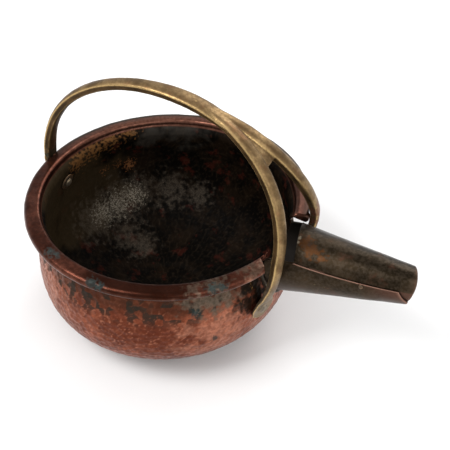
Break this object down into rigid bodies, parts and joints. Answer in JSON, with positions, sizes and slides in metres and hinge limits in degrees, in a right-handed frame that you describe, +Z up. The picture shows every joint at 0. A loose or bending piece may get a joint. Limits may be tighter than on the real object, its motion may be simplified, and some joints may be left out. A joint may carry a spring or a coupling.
{
  "type": "bee smoker",
  "caption": "Open hammered copper fire pot with a rolled rim, a tapering spout let into its wall, and a fixed arched brass handle that forks over the spout.",
  "frame": {"origin": "on the ground, below the centre of the mouth, on the flat base", "axes": "+Z up, +X along the spout, away from the bowl"},
  "size_m": [0.2843, 0.1987, 0.1819],
  "materials": {
    "bowl_copper": "hammered, aged copper, sooty inside",
    "spout_copper": "dark oxidised copper sheet",
    "handle_brass": "aged cast brass, worn bright on its ridges",
    "hoop_iron": "rusted iron strip",
    "solder": "dull dark brazing",
    "rivet_copper": "dark aged copper",
    "rivet_brass": "dull aged brass"
  },
  "bodies": {
    "root": {"bowl": "bowl_copper", "rim_hoop": "hoop_iron", "handle": "handle_brass", "spout": "spout_copper", "spout_solder": "solder", "seam_rivet": "rivet_copper", "rear_rivet": "rivet_brass", "rear_rove": "rivet_copper", "front_rivet": "rivet_brass", "front_rove": "rivet_copper", "back_rivet": "rivet_brass", "back_rove": "rivet_copper"}
  },
  "joints": []
}
